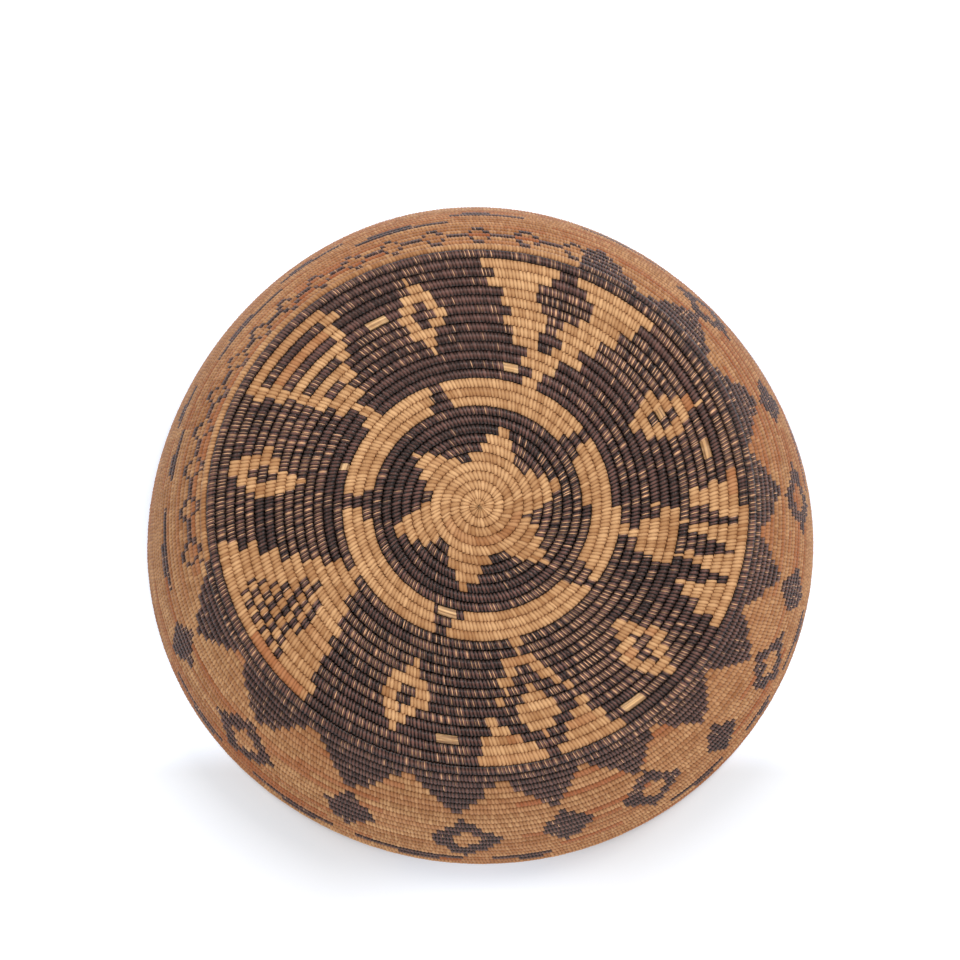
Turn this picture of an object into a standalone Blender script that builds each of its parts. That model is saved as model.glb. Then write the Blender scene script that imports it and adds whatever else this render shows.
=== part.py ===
# Coiled basket bowl, lying mouth down on its rim with the outside of its base up.
# The whole basket is one foundation bundle, sewn down on itself course after course:
# out from a start whorl over a flat base, round a shoulder and along a flaring wall to the rim.
# Metres, +Z up. The origin is the centre of the rim's plane, which is the surface it lies on.

import math

import bmesh
import bpy
import numpy as np
from mathutils import Vector

# Driving dimensions
BASE_COURSE = 0.0050  # width of one course of the coil on the base
WALL_COURSE = 0.0043  # width of one course on the wall, sewn with a thinner bundle
COURSE_GAP = 0.0005  # clearance between a course and the next
BASE_RADIUS = 0.1335  # centre of the base to the start of the shoulder
SHOULDER_BEND = 0.011  # radius of the bend from base to wall
SHOULDER_SLOPE = math.radians(50)  # wall's steepness at the shoulder, from level
RIM_SLOPE = math.radians(80)  # wall's steepness at the rim
WALL_SLANT = 0.0895  # length of the wall, shoulder to rim, along its curve
REST_FLAT = 0.0004  # depth to which the rim is worn flat where it stands
JOIN_GAP = 0.0003  # clearance between the ends of two lengths of the coil
CAP_WELD = 0.000001  # points nearer than this are one

# Counts and proportions
LOOP_POINTS = 24  # points on each turn of the coil
START_TURN = 0.55  # where the bundle begins, in turns from the very centre
WHORL_TURNS = 2.0  # the tight start, in turns from the centre
TAPER_TURNS = 3.0  # turns over which the bundle thins from base to wall
RIM_TURNS = 1.5  # turns that make the rim, of which the last one tapers
TAIL_SHARE = 0.72  # part of the last turn that the tapering tail covers
BASE_LENGTHS = ("base_coil_inner", "base_coil_middle", "base_coil_outer", "base_coil_edge")
WALL_LENGTHS = ("wall_coil_lower", "wall_coil_mid_lower", "wall_coil_middle", "wall_coil_mid_upper",
                "wall_coil_upper")

# Finishes: colour, roughness
GOLDEN_RUSH = ((0.42, 0.22, 0.11), 0.55)
DYED_RUSH = ((0.07, 0.035, 0.024), 0.6)
RUSSET_RUSH = ((0.30, 0.15, 0.075), 0.58)
FINISHES = {
    "start_whorl": GOLDEN_RUSH,
    "base_coil_inner": GOLDEN_RUSH,
    "base_coil_middle": DYED_RUSH,
    "base_coil_outer": DYED_RUSH,
    "base_coil_edge": DYED_RUSH,
    "shoulder_coil": RUSSET_RUSH,
}

# Worked out from the dimensions above
SHOULDER_ARC = SHOULDER_BEND * SHOULDER_SLOPE
WALL_BEND = WALL_SLANT / (RIM_SLOPE - SHOULDER_SLOPE)
PROFILE_LENGTH = BASE_RADIUS + SHOULDER_ARC + WALL_SLANT
BASE_TURNS = BASE_RADIUS / BASE_COURSE
TAPER_LENGTH = TAPER_TURNS * (BASE_COURSE + WALL_COURSE) / 2
WALL_START = BASE_RADIUS + TAPER_LENGTH
LAST_TURN = BASE_TURNS + TAPER_TURNS + (PROFILE_LENGTH - WALL_COURSE / 2 - WALL_START) / WALL_COURSE
RIM_START = LAST_TURN + 1 - RIM_TURNS
SHOULDER_END = BASE_TURNS + TAPER_TURNS
END_TURN = LAST_TURN + TAIL_SHARE


def profile(along):
    """Radius, depth below the base and slope of a point this far from the centre along the profile."""
    if along <= BASE_RADIUS:
        return along, 0.0, 0.0
    bend = min(along - BASE_RADIUS, SHOULDER_ARC) / SHOULDER_BEND
    radius = BASE_RADIUS + SHOULDER_BEND * math.sin(bend)
    depth = SHOULDER_BEND * (1 - math.cos(bend))
    slope = bend
    wall = along - BASE_RADIUS - SHOULDER_ARC
    if wall > 0:
        slope = SHOULDER_SLOPE + wall / WALL_BEND
        radius += WALL_BEND * (math.sin(slope) - math.sin(SHOULDER_SLOPE))
        depth += WALL_BEND * (math.cos(SHOULDER_SLOPE) - math.cos(slope))
    return radius, depth, slope


def course_at(turn):
    """Distance along the profile and width of the course, this many turns from the centre."""
    if turn <= BASE_TURNS:
        return turn * BASE_COURSE, BASE_COURSE
    if turn <= SHOULDER_END:
        done = (turn - BASE_TURNS) / TAPER_TURNS
        width = BASE_COURSE + (WALL_COURSE - BASE_COURSE) * done
        return BASE_RADIUS + (turn - BASE_TURNS) * (BASE_COURSE + width) / 2, width
    if turn <= LAST_TURN:
        return WALL_START + (turn - SHOULDER_END) * WALL_COURSE, WALL_COURSE
    # The last turn thins to a tail, so that its outer edge stays level.
    width = WALL_COURSE * (1 - (turn - LAST_TURN))
    return PROFILE_LENGTH - width / 2, width


RIM_DEPTH = profile(PROFILE_LENGTH - WALL_COURSE / 2)[1]
BASE_HEIGHT = RIM_DEPTH + (WALL_COURSE - COURSE_GAP) / 2 - REST_FLAT


def coil_point(turn):
    """Centre, radius and slope of the bundle, this many turns from the centre."""
    along, width = course_at(turn)
    radius, depth, slope = profile(along)
    angle = 2 * math.pi * turn
    centre = (radius * math.cos(angle), radius * math.sin(angle), BASE_HEIGHT - depth)
    return centre, (width - COURSE_GAP) / 2, slope


def middle_of(step, side):
    """Centre, radius and slope where the coil is parted, half way between this corner and the next.

    side is 1 for the length that begins there, -1 for the one that ends there and 0 for the middle itself.
    """
    here, radius, slope = coil_point(step / LOOP_POINTS)
    after, next_radius, next_slope = coil_point((step + 1) / LOOP_POINTS)
    here = Vector(here)
    after = Vector(after)
    shift = (after - here).normalized() * (side * JOIN_GAP / 2)
    return (here + after) / 2 + shift, (radius + next_radius) / 2, (slope + next_slope) / 2


def corners_between(first, last):
    """Centres, radii and slopes at the whole steps of the coil after first and up to last, both counts of steps."""
    return [coil_point(step / LOOP_POINTS) for step in range(first + 1, last + 1)]


def finish(name):
    colour, roughness = FINISHES.get(name, GOLDEN_RUSH)
    material = bpy.data.materials.new(name + "_rush")
    material.use_nodes = True
    shader = material.node_tree.nodes["Principled BSDF"]
    shader.inputs["Base Color"].default_value = (*colour, 1.0)
    shader.inputs["Roughness"].default_value = roughness
    shader.inputs["Metallic"].default_value = 0.0
    return material


def coil_length(name, first, last):
    """One length of the coil as an unbroken tube, between two counts of steps."""
    curve = bpy.data.curves.new(name, "CURVE")
    curve.dimensions = "3D"
    curve.twist_mode = "Z_UP"
    curve.bevel_depth = 1.0
    curve.bevel_resolution = 1
    curve.use_fill_caps = True
    spline = curve.splines.new("POLY")
    places = [middle_of(first, 1)] + corners_between(first, last) + [middle_of(last, -1)]
    spline.points.add(len(places) - 1)
    for point, (centre, radius, slope) in zip(spline.points, places):
        point.co = (*centre, 1.0)
        point.radius = radius
        point.tilt = slope  # turns the section's corners towards the neighbouring courses
    curve.materials.append(finish(name))
    length = bpy.data.objects.new(name, curve)
    basket.objects.link(length)
    return length


def nearest_step(turn):
    return round(turn * LOOP_POINTS)


def as_mesh(coil):
    """The tube as a closed mesh object in place of its curve."""
    graph = bpy.context.evaluated_depsgraph_get()
    mesh = bpy.data.meshes.new_from_object(coil.evaluated_get(graph))
    shape = bmesh.new()
    shape.from_mesh(mesh)
    bmesh.ops.remove_doubles(shape, verts=shape.verts, dist=CAP_WELD)
    shape.to_mesh(mesh)
    shape.free()
    name = coil.name
    place = coil.matrix_world.copy()
    bpy.data.objects.remove(coil)
    solid = bpy.data.objects.new(name, mesh)
    solid.matrix_world = place
    basket.objects.link(solid)
    return solid


def wear_flat(solid):
    """Takes off what lies below the rim's plane, so that the basket stands on a flat strip."""
    reach = 2 * (profile(PROFILE_LENGTH)[0] + WALL_COURSE)
    bpy.ops.mesh.primitive_cube_add(size=1)
    ground = bpy.context.object
    ground.name = "ground"
    ground.scale = (reach, reach, WALL_COURSE)
    ground.location = (0, 0, -WALL_COURSE / 2)
    for holder in ground.users_collection:
        holder.objects.unlink(ground)
    cutters.objects.link(ground)
    ground.hide_render = True
    ground.display_type = "WIRE"
    cut = solid.modifiers.new("worn_flat", "BOOLEAN")
    cut.operation = "DIFFERENCE"
    cut.solver = "EXACT"
    cut.object = ground


def least_gap():
    """The smallest clearance of the coil to its own other turns, measured on its points."""
    points = corners_between(nearest_step(START_TURN), nearest_step(END_TURN))
    centres = np.array([point[0] for point in points])
    radii = np.array([point[1] for point in points])
    apart = np.linalg.norm(centres[:, None] - centres[None], axis=2) - radii[:, None] - radii[None]
    steps = np.arange(len(points))
    return apart[np.abs(steps[:, None] - steps[None]) > LOOP_POINTS / 2].min()


for old in list(bpy.data.objects):
    bpy.data.objects.remove(old)
basket = bpy.data.collections.new("coiled_basket")
cutters = bpy.data.collections.new("cutters")
for holder in (basket, cutters):
    bpy.context.scene.collection.children.link(holder)
cutters.hide_render = True

# The coil's lengths, each from one turn to another
base_step = (BASE_TURNS - WHORL_TURNS) / len(BASE_LENGTHS)
wall_step = (RIM_START - SHOULDER_END) / len(WALL_LENGTHS)
lengths = [("start_whorl", START_TURN, WHORL_TURNS)]
for place, name in enumerate(BASE_LENGTHS):
    lengths.append((name, WHORL_TURNS + place * base_step, WHORL_TURNS + (place + 1) * base_step))
lengths.append(("shoulder_coil", BASE_TURNS, SHOULDER_END))
for place, name in enumerate(WALL_LENGTHS):
    lengths.append((name, SHOULDER_END + place * wall_step, SHOULDER_END + (place + 1) * wall_step))
lengths.append(("rim_coil", RIM_START, END_TURN))

for name, first, last in lengths:
    tube = coil_length(name, nearest_step(first), nearest_step(last))
    if name == "rim_coil":
        wear_flat(as_mesh(tube))

print("turns of the coil:", round(END_TURN, 2))
print("least gap of the coil to itself, mm:", round(least_gap() * 1000, 3))
print("rim radius, mm:", round(profile(PROFILE_LENGTH)[0] * 1000, 2))
print("height of the base's centre line, mm:", round(BASE_HEIGHT * 1000, 2))
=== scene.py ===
import math

import bpy
import numpy as np
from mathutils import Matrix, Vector


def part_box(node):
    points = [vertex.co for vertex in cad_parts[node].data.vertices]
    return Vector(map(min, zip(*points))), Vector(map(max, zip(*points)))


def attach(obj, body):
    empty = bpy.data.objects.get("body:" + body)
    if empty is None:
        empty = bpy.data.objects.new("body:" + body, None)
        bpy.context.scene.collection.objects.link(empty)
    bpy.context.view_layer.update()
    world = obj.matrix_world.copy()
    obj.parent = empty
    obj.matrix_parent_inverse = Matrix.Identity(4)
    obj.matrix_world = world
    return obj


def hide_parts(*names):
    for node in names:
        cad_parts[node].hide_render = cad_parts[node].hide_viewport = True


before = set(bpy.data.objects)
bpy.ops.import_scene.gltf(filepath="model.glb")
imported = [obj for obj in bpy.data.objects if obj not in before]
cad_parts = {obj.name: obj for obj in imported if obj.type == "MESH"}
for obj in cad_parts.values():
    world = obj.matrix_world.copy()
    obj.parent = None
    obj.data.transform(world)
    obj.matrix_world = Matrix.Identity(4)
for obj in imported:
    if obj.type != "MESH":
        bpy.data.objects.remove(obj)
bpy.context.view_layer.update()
print("frame loaded")

# The coil as the weaver wound it: one bundle from the start whorl to the rim, lengths in metres
coil = {
    "baseCourse": 0.0050,       # width of a course on the base
    "wallCourse": 0.0043,       # width of a course on the wall
    "baseRadius": 0.1335,       # centre to the start of the shoulder
    "shoulderBend": 0.011,      # radius of the bend from base to wall
    "shoulderSlope": math.radians(50),
    "rimSlope": math.radians(80),
    "wallSlant": 0.0895,        # length of the wall along its curve
    "startTurn": 0.04,          # where the sewing begins, in turns from the very centre
    "whorlTurns": 2.0,          # the tight start
    "taperTurns": 3.0,          # turns over which the bundle thins from base to wall
    "rimTurns": 1.5,            # turns that make the rim, of which the last one tapers
    "tailShare": 0.72,          # part of the last turn that the tapering tail covers
    "baseThickness": 0.80,      # bundle's depth through the wall, against its width
    "wallThickness": 0.71,
    "fullness": 1.2,            # width of the sewn bundle against the course: neighbours press together
}

# One stitch of the sewing strand
stitch = {
    "seed": 11,
    "samples": 200000,          # places along the coil at which stitches are counted
    "starPitch": 0.0021,        # along the coil near the start, where the strands are widest
    "basePitch": 0.00195,
    "wallPitch": 0.0019,
    "broadTurns": 4,            # turns sewn with the widest strands
    "broadFade": 6,             # and turns over which they come down to the base's
    "wallLead": 1,              # turns before the base's edge where the wall's finer stitches begin
    "wallFade": 3,
    "fanFull": 1,               # up to this turn the stitches fan out from the centre
    "fanGone": 3,
    "rings": (0.0, 0.25, 0.5, 0.75),   # each stitch's cross sections: the gap before it, then its back
    "dips": (1.0, 0.15, 0.0, 0.15),    # how deep each of them lies, against the gap
    "shades": (1.0, 0.12, 0.0, 0.12),  # and how dark its painted shade is
    "seamShade": 0.92,          # how dark the painted shade in the groove between two courses is
    "dyedWallSeam": -0.12,      # change to that painted shade among the wall's dyed strands, lighter there
    "dyedWallGap": 0.3,         # and how much painted shade their gaps lose
    "farSmooth": 0.55,          # how much the dyed strands' gaps close on the base's far half
    "farReach": 0.08,           # distance from the centre where they close the most
    "sideResolution": 2,        # 8 sides round the bundle
    "baseNotch": 0.22,          # how far the gap between two stitches dips, against the bundle's radius
    "wallNotch": 0.21,
    "dyedNotch": 1.1,           # the dyed strands have dried harder, and their gaps are this much deeper
    "rimNotch": 0.35,           # share of the dip left at the rim, worn smooth by hands and floors
    "sideNotch": 0.2,           # share of that dip which is left where courses touch
    "baseLean": math.radians(17),
    "starLean": math.radians(24),
    "wallLean": math.radians(12),
    "leanBuild": 4,             # turns over which the lean builds up from the centre
    "insideLean": -0.6,         # lean of the strand's way back inside, against the outside
    "unevenness": 0.34,         # how unlike each other the stitches' widths are
    "whorlReach": 2.3,          # how far the first stitches reach past the centre, so that it closes
    "whorlEnd": 1.0,            # the turn where that ends
    "whorlFade": 0.12,
}

# How far the real thing strays from a true turning, lengths in metres
handmade = {
    "oval": 0.0128,             # how much wider than long the base is, each way from round
    "swell": 0.0007,            # slow rise and fall of the base
    "swellAcross": 31,          # its waves, in radians a metre
    "swellAlong": 27,
    "swellSlant": 58,
    "swellPhases": (0.7, -0.4),
    "slantShare": 0.5,
    "swellEnds": 0.05,          # depth where it has died away
    "rimBulges": (              # how often round each bulge comes, its reach, and where in degrees
        (0, 0.00106, 180),
        (1, 0.00067, -80),
        (2, 0.00029, -117),
        (3, 0.00174, -79),
        (4, 0.00061, 41),
    ),
    "bundleWobble": 0.045,      # how much the bundle's radius varies
    "wobbleQuick": 61.3,        # how fast, in radians a turn
    "wobbleSlow": 23.7,
    "wobblePhase": 1.3,
    "stitchWobble": 0.09,       # how much one stitch stands out over another
    "bareShare": 0.88,          # width of the bundle where a strand is gone
    "edgePress": 0.03,          # how much fuller the bundle is where the base turns into the wall
    "edgeTurns": 1.5,
}

baseHeight = (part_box("base_coil_inner")[0].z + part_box("base_coil_inner")[1].z) / 2
shoulderArc = coil["shoulderBend"] * coil["shoulderSlope"]
wallBend = coil["wallSlant"] / (coil["rimSlope"] - coil["shoulderSlope"])
profileLength = coil["baseRadius"] + shoulderArc + coil["wallSlant"]
baseTurns = coil["baseRadius"] / coil["baseCourse"]
shoulderTurns = baseTurns + coil["taperTurns"]
wallStart = coil["baseRadius"] + coil["taperTurns"] * (coil["baseCourse"] + coil["wallCourse"]) / 2
lastTurn = shoulderTurns + (profileLength - coil["wallCourse"] / 2 - wallStart) / coil["wallCourse"]
endTurn = lastTurn + coil["tailShare"]


def profileAt(along):
    # radius, depth below the base and slope at these distances along the profile
    bend = np.clip(along - coil["baseRadius"], 0, shoulderArc) / coil["shoulderBend"]
    flat = np.minimum(along, coil["baseRadius"])
    radius = flat + coil["shoulderBend"] * np.sin(bend)
    depth = coil["shoulderBend"] * (1 - np.cos(bend))
    wall = np.maximum(along - coil["baseRadius"] - shoulderArc, 0)
    slope = bend + wall / wallBend
    start = coil["shoulderSlope"]
    onWall = wall > 0
    radius = radius + np.where(onWall, wallBend * (np.sin(slope) - math.sin(start)), 0)
    depth = depth + np.where(onWall, wallBend * (math.cos(start) - np.cos(slope)), 0)
    return radius, depth, slope


rimDepth = float(profileAt(np.array([profileLength]))[1][0])


def courseAt(turn):
    # distance along the profile and width of the course at these turns
    base = coil["baseCourse"]
    wall = coil["wallCourse"]
    taper = np.clip(turn - baseTurns, 0, coil["taperTurns"])
    width = base + (wall - base) * taper / coil["taperTurns"]
    along = np.minimum(turn, baseTurns) * base + taper * (base + width) / 2
    along = along + np.clip(turn - shoulderTurns, 0, lastTurn - shoulderTurns) * wall
    inTail = turn > lastTurn
    tail = wall * (1 - (turn - lastTurn))
    width = np.where(inTail, tail, width)
    along = np.where(inTail, profileLength - tail / 2, along)
    return along, width


def bundleAt(turn):
    # centre, width, slope, the directions out along the profile and out of the basket, and radius
    along, width = courseAt(turn)
    radius, depth, slope = profileAt(along)
    angle = 2 * math.pi * turn
    bulge = np.zeros_like(angle)
    for times, reach, place in handmade["rimBulges"]:
        bulge = bulge + reach * np.cos(times * angle - math.radians(place))
    low = np.clip(depth / rimDepth, 0, 1)
    reached = radius * (1 + handmade["oval"] * np.cos(2 * angle) * (1 - low)) + bulge * low
    x = reached * np.cos(angle)
    y = reached * np.sin(angle)
    phaseX, phaseY = handmade["swellPhases"]
    swell = np.sin(x * handmade["swellAcross"] + phaseX) * np.cos(y * handmade["swellAlong"] + phaseY)
    swell = swell + handmade["slantShare"] * np.sin((x + y) * handmade["swellSlant"])
    z = baseHeight - depth + handmade["swell"] * swell * np.clip(1 - depth / handmade["swellEnds"], 0, 1)
    around = np.stack([np.cos(angle), np.sin(angle), np.zeros_like(angle)], 1)
    up = np.array([0.0, 0.0, 1.0])
    outward = around * np.cos(slope)[:, None] - up * np.sin(slope)[:, None]
    normal = around * np.sin(slope)[:, None] + up * np.cos(slope)[:, None]
    return np.stack([x, y, z], 1), width, slope, outward, normal, radius


def pastStar(turn):
    # 0 among the broad strands of the middle, 1 past them
    return np.clip((turn - stitch["broadTurns"]) / stitch["broadFade"], 0, 1)


def wallShare(turn):
    # 0 on the base, 1 on the wall
    return np.clip((turn - baseTurns + stitch["wallLead"]) / stitch["wallFade"], 0, 1)


def stitchTurns():
    # the turn and the length along the coil at every edge between stitches
    fine = np.linspace(coil["startTurn"], endTurn, stitch["samples"])
    _, width, _, _, _, radius = bundleAt(fine)
    # in the whorl the stitches fan out, so they are counted along its outer edge
    fan = np.clip((stitch["fanGone"] - fine) / (stitch["fanGone"] - stitch["fanFull"]), 0, 1)
    reach = radius + width / 2 * fan
    arc = np.concatenate([[0], np.cumsum(2 * math.pi * np.diff(fine) * reach[1:])])
    pitch = stitch["starPitch"] + (stitch["basePitch"] - stitch["starPitch"]) * pastStar(fine)
    pitch = pitch + (stitch["wallPitch"] - stitch["basePitch"]) * wallShare(fine)
    count = np.concatenate([[0], np.cumsum(np.diff(arc) / pitch[1:])])
    total = int(count[-1])
    rng = np.random.default_rng(stitch["seed"])
    edges = np.arange(total + 1) + stitch["unevenness"] * (rng.random(total + 1) - 0.5)
    edges[0] = 0
    edges[-1] = count[-1]
    return np.interp(edges, count, fine), np.interp(edges, count, arc)


edgeTurn, edgeArc = stitchTurns()
stitchTurn = (edgeTurn[1:] + edgeTurn[:-1]) / 2
stitchTotal = len(stitchTurn)
print("stitches:", stitchTotal)

# The design, a general one of star, stepped windows, teeth and diamonds in the two colours of strand.
# Directions are in degrees from the right, heights in courses from the centre, widths in millimetres.
design = {
    "seed": 5,
    "stray": 0.8,               # how far an edge strays from course to course
    "strayNear": 16,            # radius inside which it strays no further
    "strayCourses": 64,         # it is drawn once for each course and sector
    "straySectors": 48,
    "drift": 0.35,              # slow drift of a design that is counted by eye, in degrees
    "driftWave": 0.9,           # radians a course
    "skew": 5,                  # and how far it is pulled round, in degrees
    "skewAt": 70,
    "skewCourses": 27,          # courses over which that builds up
    "farSide": (66, 196),       # the side with the chain and without teeth
    "fieldEnd": 28.4,           # last course of the dark field
    "farFieldEnd": 27.8,
    "starMiddle": 4.9,
    "starSpread": 28,           # half a point's width, in degrees
    "starHollow": 0.8,          # under 1 the points' sides curve in
    "starPoints": ((17, 9.3), (72, 9.2), (140, 9.0), (200, 9.6), (259, 9.8), (318, 9.4)),
    "ring": (11, 14),           # courses of the plain ring round the star's ground
    "ringSteps": (36, 108, 180, 252, 324),
    "ringStepHalves": (7, 3),
    "windowEnd": 27,            # five windows that widen in steps: direction, first course, half width
    "windowFrom": 9,
    "windowStem": (4, 2),
    "windows": ((66, 16, 43), (140, 17, 38), (211, 15, 45), (282, 16, 41), (353, 16, 46)),
    "solidFilling": ((66, 19.5, 6, 2.2), (66, 24.0, 16, 3.2)),
    "stripeFilling": (140, ((19, 8), (21, 14), (23, 20), (25, 26))),
    "checkFilling": (211, 18, 26, 7, 20),
    "checkSize": 3.3,
    "hollowFilling": (282, 22.0, 24, 5.2, 0.55),
    "toothFilling": (353, 20, 26, 8, 1.5),
    "toothPlaces": (-17, 0, 17),
    "paleDiamonds": ((103, 21.5, 13), (175, 22.5, 15), (247, 21.0, 12), (318, 22.0, 16), (30, 21.5, 13)),
    "paleDiamondTall": 4.2,
    "paleDiamondHollow": 0.42,
    "toothWide": 18,            # teeth that step out over the shoulder, in degrees
    "toothFrom": 27,
    "toothLow": 28,
    "toothTall": 6.8,
    "chainStep": 9,             # linked diamonds, one for each so many degrees
    "chainPitch": 23.2,
    "chainCourse": 31,
    "chainWide": 7.2,           # a diamond's half width and half height, and its line's share
    "chainTall": 2.4,
    "chainLine": 0.2,
    "chainLink": 7,             # from here to the next diamond runs the link
    "chainCourses": (29, 34),
    # diamonds on the wall: direction, course, half width
    "hollowDiamonds": ((45, 40, 18), (9, 41, 21), (335, 40.5, 20), (299, 40, 21), (263, 41, 20),
                       (225, 40.5, 19)),
    "hollowDiamondTall": 4.8,
    "hollowDiamondHollow": 0.46,
    "solidDiamonds": ((27, 40, 13), (351, 40, 15), (317, 41, 14), (281, 40, 15), (244, 40, 13),
                      (207, 40, 12)),
    "solidDiamondTall": 4.2,
    # thin bars near the rim, each with a short step under it: direction, course, half width
    "bars": ((84, 39, 19), (101, 36, 27), (119, 40, 23), (139, 37, 29), (160, 40, 15), (62, 43, 22),
             (36, 46, 17), (254, 46, 26), (308, 46, 20), (326, 46, 14), (235, 46, 21), (190, 38, 22),
             (172, 37, 16), (18, 46, 20), (343, 46, 21), (216, 46, 18), (272, 46, 16)),
    "barStepShare": 0.4,
    "barStepShift": 5,
}


def isDyed():
    # for each stitch whether its strand is a dyed one
    rng = np.random.default_rng(design["seed"])
    course = stitchTurn
    whole = np.floor(course)
    radius = bundleAt(stitchTurn)[5] * 1000
    theta = np.degrees(2 * math.pi * stitchTurn) % 360
    stray = rng.normal(size=(design["strayCourses"], design["straySectors"]))
    stray = stray[whole.astype(int), (theta // (360 / design["straySectors"])).astype(int)]
    skew = design["skew"] * np.sin(np.radians(theta * 2 + design["skewAt"]))
    skew = skew * np.clip(whole / design["skewCourses"], 0, 1)
    steady = theta + design["drift"] * np.sin(whole * design["driftWave"]) + skew
    theta = steady + np.degrees(design["stray"] * stray / np.maximum(radius, design["strayNear"]))

    def across(angle):
        # millimetres along the course from this direction
        return ((theta - angle + 180) % 360 - 180) * math.pi / 180 * radius

    def between(low, high):
        return (course >= low) & (course < high)

    def block(angle, low, high, halfAtLow, halfAtHigh, shift=0.0, step=1):
        share = (whole - low) // step * step / max(high - low - 1, 1)
        half = halfAtLow + (halfAtHigh - halfAtLow) * share
        return between(low, high) & (np.abs(across(angle) - shift) < half)

    def diamond(angle, middle, halfWide, halfTall):
        return np.abs(across(angle)) / halfWide + np.abs(whole + 0.5 - middle) / halfTall < 1

    def hollowDiamond(angle, middle, wide, tall, hollow):
        return diamond(angle, middle, wide, tall) & ~diamond(angle, middle, wide * hollow, tall * hollow)

    farSide = (theta > design["farSide"][0]) & (theta < design["farSide"][1])
    dark = course < np.where(farSide, design["farFieldEnd"], design["fieldEnd"])

    # the star: stepped points round a plain middle
    inner = design["starMiddle"]
    star = course < inner
    for angle, tip in design["starPoints"]:
        away = np.abs((theta - angle + 180) % 360 - 180) / design["starSpread"]
        star |= (away < 1) & (course < tip - (tip - inner) * away ** design["starHollow"])
    dark &= ~star

    # a plain ring round the star's ground, broken by dark steps
    dark &= ~between(*design["ring"])
    for angle in design["ringSteps"]:
        dark |= block(angle, *design["ring"], *design["ringStepHalves"])

    # the windows, each with its own filling
    for angle, low, wide in design["windows"]:
        dark &= ~block(angle, low, design["windowEnd"], design["windowFrom"], wide, step=2)
        dark &= ~block(angle, design["ring"][1], low, *design["windowStem"])
    for filling in design["solidFilling"]:
        dark |= diamond(*filling)
    angle, stripes = design["stripeFilling"]
    for low, half in stripes:
        dark |= block(angle, low, low + 1, half, half)
    check = np.floor(across(design["checkFilling"][0]) / design["checkSize"]) + whole
    dark |= block(*design["checkFilling"]) & (check % 2 == 0)
    dark |= hollowDiamond(*design["hollowFilling"])
    for shift in design["toothPlaces"]:
        dark |= block(*design["toothFilling"], shift)
    # pale diamonds on the dark ground between the windows
    for place in design["paleDiamonds"]:
        dark &= ~hollowDiamond(*place, design["paleDiamondTall"], design["paleDiamondHollow"])

    # the dark field ends plainly on the far side, and elsewhere in teeth that step out over the shoulder
    tooth = 1 - np.abs((theta / design["toothWide"]) % 1 * 2 - 1)
    teeth = (course > design["toothFrom"]) & (whole < design["toothLow"] + tooth * design["toothTall"])
    dark |= teeth & ~farSide

    # the wall: linked diamonds on the far side, larger ones elsewhere, and the bars
    place = ((steady / design["chainStep"]) % 1 - 0.5) * design["chainPitch"]
    height = np.abs(whole - design["chainCourse"])
    away = np.abs(place) / design["chainWide"] + height / design["chainTall"]
    outline = np.abs(away - 1) < design["chainLine"]
    links = (whole == design["chainCourse"]) & (np.abs(place) > design["chainLink"])
    dark |= farSide & between(*design["chainCourses"]) & (outline | links)
    for place in design["hollowDiamonds"]:
        dark |= hollowDiamond(*place, design["hollowDiamondTall"], design["hollowDiamondHollow"])
    for place in design["solidDiamonds"]:
        dark |= diamond(*place, design["solidDiamondTall"])
    for angle, low, half in design["bars"]:
        short = half * design["barStepShare"]
        dark |= block(angle, low, low + 1, half, half)
        dark |= block(angle, low + 1, low + 2, short, short, design["barStepShift"])
    return dark


# Age and wear: a strand's stitches share a shade, so each is drawn for a run of stitches
wear = {
    "strandSeed": 3,
    "strandRun": (14, 60),      # fewest and most stitches sewn with one strand
    "farShare": 0.25,           # how much of a strand's shade comes from the side it is on
    "wallGolden": 0.2,          # that shade on the wall
    "farWallFall": 1.6,         # and how much darker it gets on the wall's far side, painted shade
    "farWallAt": 0.35,
    "wallTurns": 5,             # turns over which base passes into wall
    "gapOdds": (0.8, 0.02, 0.02, 0.16),   # which part of a dark stitch shows the bundle: its gap mostly
    "russetSeed": 8,
    "russetRun": (6, 34),
    "russetOdds": 0.16,
    "russetRange": (0.12, 0.6),
    "russetFrom": 20,           # turn from which there is more of it
    "russetFade": 8,
    "russetBase": (0.35, 0.4),  # before that, share of its stitches that have it and its strength
    "wallRusset": (0.08, 0.08, 0.16),     # even, in patches, by the stitch
    "wallField": (22, 4),       # the patches' waves in radians a metre, and their seed
    "redSeed": 17,
    "redRun": (10, 60),
    "redRange": (0.02, 0.7),
    "redRarity": 3,
    "wornSeed": 21,
    "wornRun": (12, 90),
    "wornLevels": (0.1, 0.5, 0.85, 1.0),
    "wornOdds": (0.25, 0.2, 0.25, 0.3),
    "wornField": (30, 2),
    "wornBy": (0.85, 0.55),     # even, in patches
    "wornLimits": (0.12, 1.2),
    "wornWall": 0.7,            # how much less of it there is on the wall
    "wornWallFrom": 29,
    "wornNearAndFar": 0.3,      # share of it away from left and right, where hands held the basket
    "wornGain": 1.2,
    "wornRange": (0.3, 1.0),
    "barePlaces": 9,            # places where the strand has worn off the bundle
    "bareRun": (2, 7),
    "bareFrom": 11,
    "bareTo": 2,                # turns past the base's edge
    "waves": 9,                 # waves that a field of patches is made of
    "wavePhases": 7,            # they start anywhere up to here, in radians
}


def strandRuns(seed, run):
    # the strand that sewed each stitch, and the source of the numbers drawn for them
    shortest, longest = run
    rng = np.random.default_rng(seed)
    lengths = rng.integers(shortest, longest, stitchTotal // shortest + 2)
    return np.repeat(np.arange(len(lengths)), lengths)[:stitchTotal], rng


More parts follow.
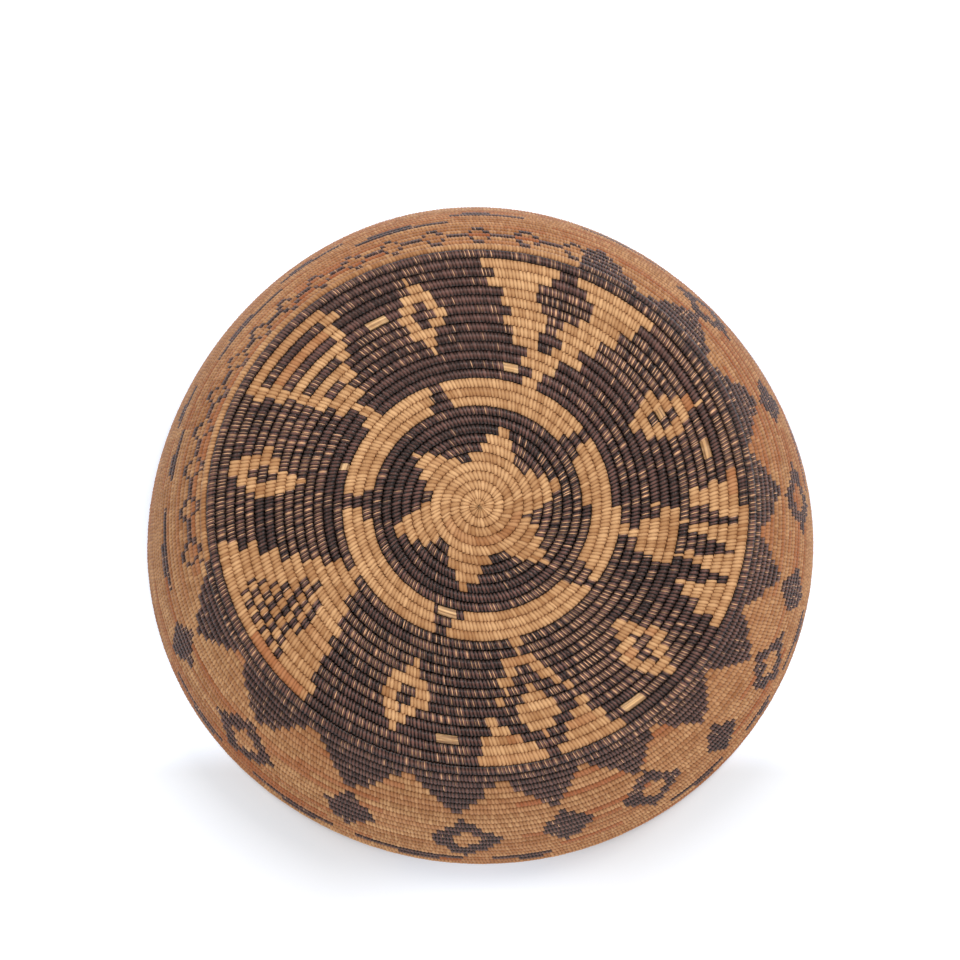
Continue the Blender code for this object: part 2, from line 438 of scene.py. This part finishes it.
def wearField(scale, seed):
    # slow patches over the basket, the same on neighbouring courses
    rng = np.random.default_rng(seed)
    centre = bundleAt(stitchTurn)[0]
    field = np.zeros(stitchTotal)
    for wave in range(wear["waves"]):
        direction = rng.normal(size=3) * scale
        field += np.sin(centre @ direction + rng.random() * wear["wavePhases"])
    return field / math.sqrt(wear["waves"])


dyed = isDyed()
strands, rng = strandRuns(wear["strandSeed"], wear["strandRun"])
# the base's far half has paler golden strands and darker dyed ones,
# and the wall's far side has darker golden ones in painted shade
far = 0.5 + 0.5 * np.sin(2 * math.pi * stitchTurn)
onWall = np.clip((stitchTurn - baseTurns + stitch["wallLead"]) / wear["wallTurns"], 0, 1)
farWall = np.clip(np.sin(2 * math.pi * stitchTurn - wear["farWallAt"]), 0, 1)
farWall = wear["wallGolden"] - wear["farWallFall"] * farWall
sideShade = np.where(dyed, 1 - far, far + (farWall - far) * onWall)
drawnShade = rng.random(strands.max() + 1)[strands]
strandShade = (1 - wear["farShare"]) * drawnShade + wear["farShare"] * sideShade
stitchTone = rng.random(stitchTotal)
wornSegment = rng.choice([0, 1, 2, 3], stitchTotal, p=wear["gapOdds"])

# russet strands, more of them on the shoulder and the wall
strands, rng = strandRuns(wear["russetSeed"], wear["russetRun"])
total = strands.max() + 1
amount = (rng.random(total) < wear["russetOdds"]) * rng.uniform(*wear["russetRange"], total)
onShoulder = np.clip((stitchTurn - wear["russetFrom"]) / wear["russetFade"], 0, 1)
share, depth = wear["russetBase"]
kept = rng.random(total)[strands] < share + (1 - share) * onShoulder
russet = amount[strands] * (depth + (1 - depth) * onShoulder) * kept
even, patchy, single = wear["wallRusset"]
wallRusset = even + patchy * wearField(*wear["wallField"]) + single * rng.random(stitchTotal)
russet = np.maximum(russet, onWall * wallRusset)
strands, rng = strandRuns(wear["redSeed"], wear["redRun"])
red = wear["redRange"][0] + wear["redRange"][1] * rng.random(strands.max() + 1) ** wear["redRarity"]
russet = np.maximum(russet, onWall * red[strands])

# where the dark strands lie apart, the pale bundle shows between them
strands, rng = strandRuns(wear["wornSeed"], wear["wornRun"])
wornShare = rng.choice(wear["wornLevels"], strands.max() + 1, p=wear["wornOdds"])[strands]
even, patchy = wear["wornBy"]
wornShare = wornShare * np.clip(even + patchy * wearField(*wear["wornField"]), *wear["wornLimits"])
wornShare = wornShare * (1 - wear["wornWall"] * np.clip(stitchTurn - wear["wornWallFrom"], 0, 1))
wornShare = wornShare * np.clip(wear["wornNearAndFar"] + np.abs(np.cos(2 * math.pi * stitchTurn)), 0, 1)
worn = rng.random(stitchTotal) < wear["wornGain"] * wornShare
worn = worn * rng.uniform(*wear["wornRange"], stitchTotal)

bare = np.zeros(stitchTotal, bool)
inReach = (stitchTurn > wear["bareFrom"]) & (stitchTurn < baseTurns + wear["bareTo"])
darkPlaces = np.nonzero(dyed & inReach)[0]
for place in rng.choice(darkPlaces, wear["barePlaces"], replace=False):
    bare[place:place + rng.integers(*wear["bareRun"])] = True
bare &= dyed
print("design laid out")


def addNode(tree, kind, inputs=None, **settings):
    # one node with its settings; an input is a value, a socket, or a node for its first live output
    node = tree.nodes.new(kind)
    for name, value in settings.items():
        setattr(node, name, value)
    for key, value in (inputs or {}).items():
        if isinstance(value, bpy.types.Node):
            value = next(output for output in value.outputs if output.enabled)
        if isinstance(value, bpy.types.NodeSocket):
            tree.links.new(value, node.inputs[key])
        else:
            node.inputs[key].default_value = value
    return node


def fromHex(text):
    # sRGB hex to the linear colour that the shader takes
    parts = [int(text[i:i + 2], 16) / 255 for i in (1, 3, 5)]
    return (*[v / 12.92 if v <= 0.04045 else ((v + 0.055) / 1.055) ** 2.4 for v in parts], 1.0)


mathKind = "ShaderNodeMath"
mixKind = "ShaderNodeMix"
mixFactor, mixLow, mixHigh = 0, 6, 7  # the inputs of a mix of two colours

# What the skins of all the strands share
skin = {
    "fibreDetail": 3.0,
    "fibreRoughness": 0.6,
    "streakFrom": 0.35,         # fibres show as streaks where their noise is above this
    "roughSpread": 0.22,        # how much rougher some fibres are than others
    "bumpDepth": 0.0002,
    "crestFall": 2.0,           # how fast the crest falls away to the sides
    "crestLoss": 2.0,
}


def strandMaterial(name, look):
    material = bpy.data.materials.new(name)
    material.use_nodes = True
    tree = material.node_tree
    shader = tree.nodes["Principled BSDF"]
    noted = {}
    for label in ("strandShade", "stitchTone", "aged", "showing", "seam", "paintedGapShade"):
        noted[label] = addNode(tree, "ShaderNodeAttribute", attribute_name=label).outputs["Fac"]
    # fibres 0.2 mm wide run round the bundle, and are drawn 0.4 mm wide so that they show
    route = addNode(tree, "ShaderNodeUVMap", uv_map="route")
    stretched = addNode(tree, "ShaderNodeMapping", {"Vector": route, "Scale": (*look["grain"], 1.0)})
    fibre = addNode(tree, "ShaderNodeTexNoise", {
        "Vector": stretched,
        "Scale": 1.0,
        "Detail": skin["fibreDetail"],
        "Roughness": skin["fibreRoughness"],
    }).outputs["Fac"]

    # the strand's own colour, its russet age and its fibres
    share = look["strandShare"]
    byStrand = addNode(tree, mathKind, {0: noted["strandShade"], 1: share}, operation="MULTIPLY")
    byStitch = addNode(tree, mathKind, {0: noted["stitchTone"], 1: 1 - share}, operation="MULTIPLY")
    blend = addNode(tree, mathKind, {0: byStrand, 1: byStitch}, operation="ADD", use_clamp=True)
    above = {0: fibre, 1: skin["streakFrom"]}
    streak = addNode(tree, mathKind, above, operation="SUBTRACT", use_clamp=True)
    streak = addNode(tree, mathKind, {0: streak, 1: look["streak"]}, operation="MULTIPLY")

    # painted shade in the grooves between courses and in the gaps between stitches
    gap = addNode(tree, mathKind, {0: noted["paintedGapShade"], 1: look["gapWidth"]}, operation="POWER")
    dot = addNode(tree, mathKind, {0: noted["seam"], 1: look["dotShare"]}, operation="MULTIPLY")
    depth = addNode(tree, mathKind, {0: dot, 1: look["notchShare"]}, operation="ADD", use_clamp=True)
    gap = addNode(tree, mathKind, {0: gap, 1: depth}, operation="MULTIPLY")
    edge = addNode(tree, mathKind, {0: noted["seam"], 1: look["seamFall"]}, operation="POWER")
    edge = addNode(tree, mathKind, {0: edge, 1: look["seamShare"]}, operation="MULTIPLY")
    shadow = addNode(tree, mathKind, {0: edge, 1: gap}, operation="ADD", use_clamp=True)

    # between strands that lie apart the bundle shows, on the crest only
    offCrest = addNode(tree, mathKind, {0: noted["seam"], 1: skin["crestFall"]}, operation="POWER")
    offCrest = addNode(tree, mathKind, {0: offCrest, 1: skin["crestLoss"]}, operation="MULTIPLY")
    onCrest = addNode(tree, mathKind, {0: 1.0, 1: offCrest}, operation="SUBTRACT", use_clamp=True)
    showing = addNode(tree, mathKind, {0: noted["showing"], 1: onCrest}, operation="MULTIPLY")

    colour = fromHex(look["deep"])
    for amount, over in ((blend, "pale"), (noted["aged"], "aged"), (streak, "streakColour"),
                         (shadow, "grooveShade"), (showing, "bundle")):
        layers = {mixFactor: amount, mixLow: colour, mixHigh: fromHex(look[over])}
        colour = addNode(tree, mixKind, layers, data_type="RGBA")
    tree.links.new(colour.outputs[2], shader.inputs["Base Color"])

    rough = addNode(tree, mathKind, {0: fibre, 1: skin["roughSpread"]}, operation="MULTIPLY")
    even = look["roughness"] - skin["roughSpread"] / 2
    rough = addNode(tree, mathKind, {0: rough, 1: even}, operation="ADD")
    tree.links.new(rough.outputs[0], shader.inputs["Roughness"])
    shader.inputs["IOR"].default_value = look["ior"]
    shader.inputs["Specular IOR Level"].default_value = look["specular"]
    relief = {"Height": fibre, "Strength": look["bump"], "Distance": skin["bumpDepth"]}
    bump = addNode(tree, "ShaderNodeBump", relief)
    tree.links.new(bump.outputs[0], shader.inputs["Normal"])
    return material


# Split golden rush, undyed and sun aged: a dry skin with a low satin, and painted shade in the grooves
goldenRush = strandMaterial("goldenSplitRush", {
    "deep": "#a07046",
    "pale": "#e8b885",
    "aged": "#a04c28",
    "bundle": "#e1af79",
    "streakColour": "#855332",
    "grooveShade": "#73472a",
    "streak": 0.5,
    "seamShare": 0.46,
    "seamFall": 3.0,
    "notchShare": 0.48,
    "dotShare": 0.55,
    "gapWidth": 0.7,
    "strandShare": 0.5,
    "grain": (2500.0, 90.0),
    "roughness": 0.42,
    "ior": 1.5,
    "specular": 0.1,
    "bump": 0.35,
})
# Rush dyed in mud: from blue black to faded brown, rubbed smooth on the crests
dyedRush = strandMaterial("mudDyedRush", {
    "deep": "#2d1c1a",
    "pale": "#855c52",
    "aged": "#8f685a",
    "bundle": "#e0ac82",
    "streakColour": "#7d6150",
    # near black painted shade in the grooves and gaps
    "grooveShade": "#030201",
    "streak": 0.4,
    "seamShare": 0.9,
    "seamFall": 1.3,
    "notchShare": 1.0,
    "dotShare": 0.0,
    "gapWidth": 0.5,
    "strandShare": 0.5,
    "grain": (2500.0, 90.0),
    "roughness": 0.28,
    "ior": 1.5,
    "specular": 0.15,
    "bump": 0.15,
})
# The bundle's bare stems where a strand is gone: pale dull straw, with painted shade between stems 1 mm
# thick and in the grooves
bareStems = strandMaterial("bareStrawBundle", {
    "deep": "#cd9a62",
    "pale": "#ecc28e",
    "aged": "#ecc28e",
    "bundle": "#ecc28e",
    # painted shade between the stems
    "streakColour": "#6e4628",
    "grooveShade": "#3a2413",
    "streak": 3.2,
    "seamShare": 0.8,
    "seamFall": 2.5,
    "notchShare": 0.0,
    "dotShare": 0.0,
    "gapWidth": 1.0,
    "strandShare": 0.5,
    "grain": (40.0, 1000.0),
    "roughness": 0.5,
    "ior": 1.5,
    "specular": 0.4,
    "bump": 0.35,
})


def bundleMesh(name, centre, radius, slope):
    # an unbroken closed tube through these rings
    curve = bpy.data.curves.new(name, "CURVE")
    curve.dimensions = "3D"
    curve.twist_mode = "Z_UP"
    curve.bevel_depth = 1.0
    curve.bevel_resolution = stitch["sideResolution"]
    curve.use_fill_caps = True
    points = curve.splines.new("POLY").points
    points.add(len(centre) - 1)
    points.foreach_set("co", np.column_stack([centre, np.ones(len(centre))]).astype(np.float32).ravel())
    points.foreach_set("radius", radius.astype(np.float32))
    points.foreach_set("tilt", slope.astype(np.float32))
    holder = bpy.data.objects.new(name, curve)
    bpy.context.scene.collection.objects.link(holder)
    bpy.context.view_layer.update()
    graph = bpy.context.evaluated_depsgraph_get()
    mesh = bpy.data.meshes.new_from_object(holder.evaluated_get(graph))
    bpy.data.objects.remove(holder)
    bpy.data.curves.remove(curve)
    mesh.name = name
    return mesh


def readAll(items, field, kind, width=1):
    values = np.empty(len(items) * width, kind)
    items.foreach_get(field, values)
    return values


def note(mesh, label, domain, values):
    noted = mesh.attributes.new(label, "FLOAT", domain)
    noted.data.foreach_set("value", values.astype(np.float32))


# How the bake's map lays the skin out: even rows one above the other, and the two caps over them
bakeMap = {
    "rowShape": 1.15,
    "rowStart": 0.06,
    "rowHeight": 0.88,
    "rowEnds": 0.01,
    "capRoom": 0.3,
    "capStart": 0.1,
    "capHeight": 0.1,
    "capWidth": 0.1,
    "secondCap": 0.5,
}


def layMaps(mesh, arc, width, ring, fromCentre, loops, starts, totals, firstRing, lastRing):
    # one map follows the strand in metres, the other lays the skin out for baking
    sides = 4 + 2 * stitch["sideResolution"]
    faceOf = np.repeat(np.arange(len(starts)), totals)
    around = (np.arange(len(ring)) % sides).astype(float)[loops]
    reach = np.maximum.reduceat(around, starts) - np.minimum.reduceat(around, starts)
    crosses = (reach > sides / 2)[faceOf]
    around = np.where(crosses & (around < sides / 2), around + sides, around) / sides
    girth = math.pi * float(width.mean())
    route = mesh.uv_layers.new(name="route")
    corner = np.column_stack([arc[ring[loops]], around * girth])
    route.data.foreach_set("uv", corner.astype(np.float32).ravel())
    rows = max(1, math.ceil(math.sqrt((arc[-1] - arc[0]) / (girth * bakeMap["rowShape"]))))
    perRow = math.ceil((len(arc) - 1) / rows)
    row = (firstRing // perRow)[faceOf]
    isCap = (firstRing == lastRing)[faceOf]
    along = (ring[loops] - row * perRow) / perRow
    down = (row + bakeMap["rowStart"] + bakeMap["rowHeight"] * around) / (rows + bakeMap["capRoom"])
    capUp = rows + bakeMap["capStart"] + bakeMap["capHeight"] * fromCentre[loops]
    capUp = capUp / (rows + bakeMap["capRoom"])
    capAlong = bakeMap["capStart"] + bakeMap["secondCap"] * (ring[loops] > 0)
    capAlong = capAlong + bakeMap["capWidth"] * around
    along = np.where(isCap, capAlong, along * (1 - 2 * bakeMap["rowEnds"]) + bakeMap["rowEnds"])
    down = np.where(isCap, capUp, down)
    bake = mesh.uv_layers.new(name="OFBake")
    bake.data.foreach_set("uv", np.column_stack([along, down]).astype(np.float32).ravel())


def coilPiece(name, first, last):
    # the sewn bundle between two stitches, in place of a length of the CAD coil
    rings = len(stitch["rings"])
    steps = np.arange(first * rings, last * rings + 1)
    owner = np.minimum(steps // rings, stitchTotal - 1)
    part = np.where(steps == stitchTotal * rings, 1.0, np.array(stitch["rings"])[steps % rings])
    turn = edgeTurn[owner] * (1 - part) + edgeTurn[owner + 1] * part
    arc = edgeArc[owner] * (1 - part) + edgeArc[owner + 1] * part
    centre, width, slope, outward, normal, radius = bundleAt(turn)
    sewnOver = ~(bare[owner] & bare[np.maximum(owner - 1, 0)])
    wobble = np.sin(turn * handmade["wobbleSlow"] + handmade["wobblePhase"])
    wobble = np.sin(turn * handmade["wobbleQuick"]) + wobble
    wobble = 1 + handmade["bundleWobble"] * wobble / 2
    crest = 1 + handmade["stitchWobble"] * (stitchTone[owner] - 0.5)
    atEdge = 1 + handmade["edgePress"] * np.exp(-((turn - baseTurns) / handmade["edgeTurns"]) ** 2)
    full = coil["fullness"] / 2 * width * np.where(bare[owner], handmade["bareShare"], crest) * atEdge
    mesh = bundleMesh(name, centre, full * wobble, slope)

    # each point's ring, and its place out along the profile and out of the basket
    sides = 4 + 2 * stitch["sideResolution"]
    points = readAll(mesh.vertices, "co", np.float32, 3).reshape(-1, 3).astype(float)
    # the end cap's points come first, then the start cap's, then the rings
    ring = np.maximum(np.arange(len(points)) // sides - 2, 0)
    ring[:sides] = len(steps) - 1
    offset = points - centre[ring]
    outShare = np.einsum("ij,ij->i", offset, outward[ring])
    upShare = np.einsum("ij,ij->i", offset, normal[ring])
    fromCentre = np.abs(outShare) / np.maximum(np.hypot(outShare, upShare), 1e-9)

    # the stitches lean
    wall = wallShare(turn)
    lean = stitch["baseLean"] + (stitch["starLean"] - stitch["baseLean"]) * (1 - pastStar(turn))
    lean = lean + (stitch["wallLean"] - stitch["baseLean"]) * wall
    lean = lean * np.clip(turn / stitch["leanBuild"], 0, 1)
    forward = np.gradient(centre, axis=0)
    forward /= np.linalg.norm(forward, axis=1)[:, None]
    side = np.where(upShare < 0, stitch["insideLean"], 1.0)
    points += forward[ring] * (outShare * np.tan(lean)[ring] * side)[:, None]

    # the bundle is a little flat, and dips between the stitches
    flat = coil["baseThickness"] + (coil["wallThickness"] - coil["baseThickness"]) * wall
    dip = stitch["baseNotch"] + (stitch["wallNotch"] - stitch["baseNotch"]) * wall
    dip = dip * np.array(stitch["dips"])[steps % rings] * sewnOver
    farHalf = np.clip(np.sin(2 * math.pi * turn) * radius / stitch["farReach"], 0, 1)
    tight = stitch["farSmooth"] * dyed[owner] * (1 - wall) * farHalf
    dip = dip * np.where(dyed[owner], stitch["dyedNotch"], 1) * (1 - tight)
    dip = dip * (1 - (1 - stitch["rimNotch"]) * np.clip(turn - lastTurn + 1, 0, 1))
    points -= normal[ring] * (upShare * (1 - flat * (1 - dip))[ring])[:, None]
    points -= outward[ring] * (outShare * (dip * stitch["sideNotch"])[ring])[:, None]

    # the first turn's stitches meet at the centre, and the rim is worn flat where it stands
    whorl = np.clip((stitch["whorlEnd"] - turn) / stitch["whorlFade"], 0, 1)
    stretch = 1 + (stitch["whorlReach"] * radius / (width / 2) - 1) * whorl
    inner = outShare < 0
    points[inner] += outward[ring[inner]] * (outShare[inner] * (stretch[ring[inner]] - 1))[:, None]
    points[:, 2] = np.maximum(points[:, 2], 0)
    mesh.vertices.foreach_set("co", points.astype(np.float32).ravel())

    # how near each point is to the groove between courses, scaled by the painted shade there, and the
    # painted shade in the gap between stitches
    seamShade = (stitch["seamShade"] + stitch["dyedWallSeam"] * wall * dyed[owner])[ring]
    note(mesh, "seam", "POINT", fromCentre * seamShade)
    gapShade = np.array(stitch["shades"])[steps % rings] * sewnOver
    gapShade = gapShade * np.where(dyed[owner], 1 - stitch["dyedWallGap"] * wall, 1) * (1 - tight)
    note(mesh, "paintedGapShade", "POINT", gapShade[ring])

    # each face belongs to a stitch
    loops = readAll(mesh.loops, "vertex_index", np.int32)
    starts = readAll(mesh.polygons, "loop_start", np.int32)
    totals = readAll(mesh.polygons, "loop_total", np.int32)
    firstRing = np.minimum.reduceat(ring[loops], starts)
    lastRing = np.maximum.reduceat(ring[loops], starts)
    ofStitch = np.minimum(steps[firstRing] // rings, stitchTotal - 1)
    segment = steps[firstRing] % rings
    kind = np.where(bare[ofStitch], 2, np.where(dyed[ofStitch], 1, 0))
    for rush in (goldenRush, dyedRush, bareStems):
        mesh.materials.append(rush)
    mesh.polygons.foreach_set("material_index", kind.astype(np.int32))
    note(mesh, "strandShade", "FACE", strandShade[ofStitch])
    note(mesh, "stitchTone", "FACE", stitchTone[ofStitch])
    note(mesh, "aged", "FACE", russet[ofStitch] * (kind < 2))
    note(mesh, "showing", "FACE", worn[ofStitch] * ((segment == wornSegment[ofStitch]) & (kind == 1)))
    layMaps(mesh, arc, width, ring, fromCentre, loops, starts, totals, firstRing, lastRing)
    mesh.polygons.foreach_set("use_smooth", np.ones(len(mesh.polygons), bool))
    mesh.update()
    piece = bpy.data.objects.new(name, mesh)
    bpy.context.scene.collection.objects.link(piece)
    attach(piece, "root")
    return piece


# The same lengths of coil as the CAD has, from one turn to another
baseNames = ("base_coil_inner", "base_coil_middle", "base_coil_outer", "base_coil_edge")
wallNames = ("wall_coil_lower", "wall_coil_mid_lower", "wall_coil_middle", "wall_coil_mid_upper",
             "wall_coil_upper")
whorlTurns = coil["whorlTurns"]
rimStart = lastTurn + 1 - coil["rimTurns"]
baseSplits = np.linspace(whorlTurns, baseTurns, len(baseNames) + 1)
wallSplits = np.linspace(shoulderTurns, rimStart, len(wallNames) + 1)
lengths = [("start_whorl", coil["startTurn"], whorlTurns)]
lengths += [(name, baseSplits[i], baseSplits[i + 1]) for i, name in enumerate(baseNames)]
lengths += [("shoulder_coil", baseTurns, shoulderTurns)]
lengths += [(name, wallSplits[i], wallSplits[i + 1]) for i, name in enumerate(wallNames)]
lengths += [("rim_coil", rimStart, endTurn)]
for node, low, high in lengths:
    first = int(np.searchsorted(edgeTurn, low)) if node != "start_whorl" else 0
    last = int(np.searchsorted(edgeTurn, high)) if node != "rim_coil" else stitchTotal
    sewn = coilPiece("sewn_" + node, first, last)
    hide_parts(node)
    print("sewn", node, len(sewn.data.polygons))

# Floor and light
studio = {
    "floorSize": 8.0,
    "paper": "#e7e7e7",
    "boxes": {                # place, size and power of each softbox
        "farLeftSoftbox": ((-0.95, 0.85, 1.7), 0.7, 15.5),
        "farRightSoftbox": ((0.85, 0.95, 1.7), 0.7, 21.5),
        "nearSoftbox": ((0.35, -1.6, 1.0), 1.2, 16.5),
    },
    "room": "#ffffff",
    "worldStrength": 0.43,
    "litPaper": "#dddddd",    # how much of the paper's white the light gives; the rest is its own
    "glow": "#dfebff",        # cool, against the warm light that the basket throws on the paper
    "floorGlow": 0.137,
    "farGlow": 0.456,         # painted light: the paper glows brighter behind the basket, hiding the shadow there
    "glowFrom": -0.132,
    "glowTo": -0.108,
    "midGlow": 0.217,         # and a little in the middle of the near side, painted light that lightens the shadow there
    "midReach": 0.09,
    "roomGlow": 1.14,         # and white away from it, whatever the lamps reach
    "roomFrom": 0.185,
    "roomTo": 0.5,
}


def showsBackground(tree):
    # 1 for the rays that see the white room itself: straight, in a gloss or through a clear thing
    rays = addNode(tree, "ShaderNodeLightPath").outputs
    seen = addNode(tree, mathKind, {0: rays["Is Camera Ray"], 1: rays["Is Glossy Ray"]}, operation="ADD")
    seen = {0: seen, 1: rays["Is Transmission Ray"]}
    return addNode(tree, mathKind, seen, operation="ADD", use_clamp=True)


def floorMaterial():
    # matt white paper, shown so light that only the shadow stands out on it
    material = bpy.data.materials.new("whiteStudioPaper")
    material.use_nodes = True
    tree = material.node_tree
    tree.nodes.clear()
    paper = addNode(tree, "ShaderNodeBsdfDiffuse", {"Color": fromHex(studio["paper"])})
    lit = addNode(tree, "ShaderNodeBsdfDiffuse", {"Color": fromHex(studio["litPaper"])})
    place = addNode(tree, "ShaderNodeTexCoord").outputs["Object"]
    away = addNode(tree, "ShaderNodeVectorMath", {0: place}, operation="LENGTH").outputs["Value"]
    spot = addNode(tree, "ShaderNodeSeparateXYZ", {0: place}).outputs
    room = addNode(tree, "ShaderNodeMapRange", {
        "Value": away,
        "From Min": studio["roomFrom"],
        "From Max": studio["roomTo"],
        "To Min": 0.0,
        "To Max": studio["roomGlow"],
    })
    # painted light on the paper: more glow in the middle of the near side and behind the basket, which
    # lightens the shadow there
    mid = addNode(tree, "ShaderNodeMapRange", {
        "Value": addNode(tree, mathKind, {0: spot["X"]}, operation="ABSOLUTE"),
        "From Min": 0.0,
        "From Max": studio["midReach"],
        "To Min": studio["midGlow"],
        "To Max": 0.0,
    }, interpolation_type="SMOOTHSTEP")
    far = addNode(tree, "ShaderNodeMapRange", {
        "Value": spot["Y"],
        "From Min": studio["glowFrom"],
        "From Max": studio["glowTo"],
        "To Min": studio["floorGlow"],
        "To Max": studio["floorGlow"] + studio["farGlow"],
    }, interpolation_type="SMOOTHSTEP")
    strength = addNode(tree, mathKind, {0: far, 1: mid}, operation="ADD")
    strength = addNode(tree, mathKind, {0: strength, 1: room}, operation="ADD")
    glow = addNode(tree, "ShaderNodeEmission", {"Color": fromHex(studio["glow"]), "Strength": strength})
    bright = addNode(tree, "ShaderNodeAddShader", {0: lit, 1: glow})
    mixed = addNode(tree, "ShaderNodeMixShader", {0: showsBackground(tree), 1: paper, 2: bright})
    addNode(tree, "ShaderNodeOutputMaterial", {"Surface": mixed})
    return material


bpy.ops.mesh.primitive_plane_add(size=studio["floorSize"])
floor = bpy.context.object
floor.name = "floor"
floor.data.materials.append(floorMaterial())


def softbox(name, place, size, power):
    lamp = bpy.data.lights.new(name, "AREA")
    lamp.shape = "SQUARE"
    lamp.size = size
    lamp.energy = power
    holder = bpy.data.objects.new(name, lamp)
    holder.location = place
    holder.rotation_euler = (-Vector(place)).to_track_quat("-Z", "Y").to_euler()
    bpy.context.scene.collection.objects.link(holder)


for name, (place, size, power) in studio["boxes"].items():
    softbox(name, place, size, power)

# A plain white room, at full white only where it is seen
world = bpy.data.worlds.new("whiteRoom")
bpy.context.scene.world = world
world.use_nodes = True
room = world.node_tree
seen = {0: showsBackground(room), 1: 1 - studio["worldStrength"]}
seen = addNode(room, mathKind, seen, operation="MULTIPLY")
strength = addNode(room, mathKind, {0: seen, 1: studio["worldStrength"]}, operation="ADD")
background = room.nodes["Background"]
background.inputs["Color"].default_value = fromHex(studio["room"])
room.links.new(strength.outputs[0], background.inputs["Strength"])

# The camera as the photograph has it: nearly straight above the base, long lens
view = {
    "tilt": math.radians(10.2),      # off the base's axis, towards the near side
    "metresPerPixel": 0.000518,      # at the base
    "distance": 1.813,
    "frame": 960,
    "baseCentreAt": (479.5, 506.6),  # pixel of the middle of the base
    "sensor": 36.0,
    "clipStart": 0.05,
}
back = Vector((0, -math.sin(view["tilt"]), math.cos(view["tilt"])))
upward = Vector((0, math.cos(view["tilt"]), math.sin(view["tilt"])))
rightward = Vector((1, 0, 0))
middle = view["frame"] / 2
right = (middle - view["baseCentreAt"][0]) * view["metresPerPixel"]
down = (view["baseCentreAt"][1] - middle) * view["metresPerPixel"]
lens = bpy.data.cameras.new("camera")
lens.sensor_width = view["sensor"]
lens.lens = view["sensor"] * view["distance"] / view["metresPerPixel"] / view["frame"]
lens.clip_start = view["clipStart"]
camera = bpy.data.objects.new("camera", lens)
above = Vector((0, 0, baseHeight)) + back * view["distance"]
camera.location = above + rightward * right + upward * down
camera.rotation_euler = (-back).to_track_quat("-Z", "Y").to_euler()
bpy.context.scene.collection.objects.link(camera)
bpy.context.scene.camera = camera
bpy.context.scene.view_settings.view_transform = "Standard"
print("studio set")
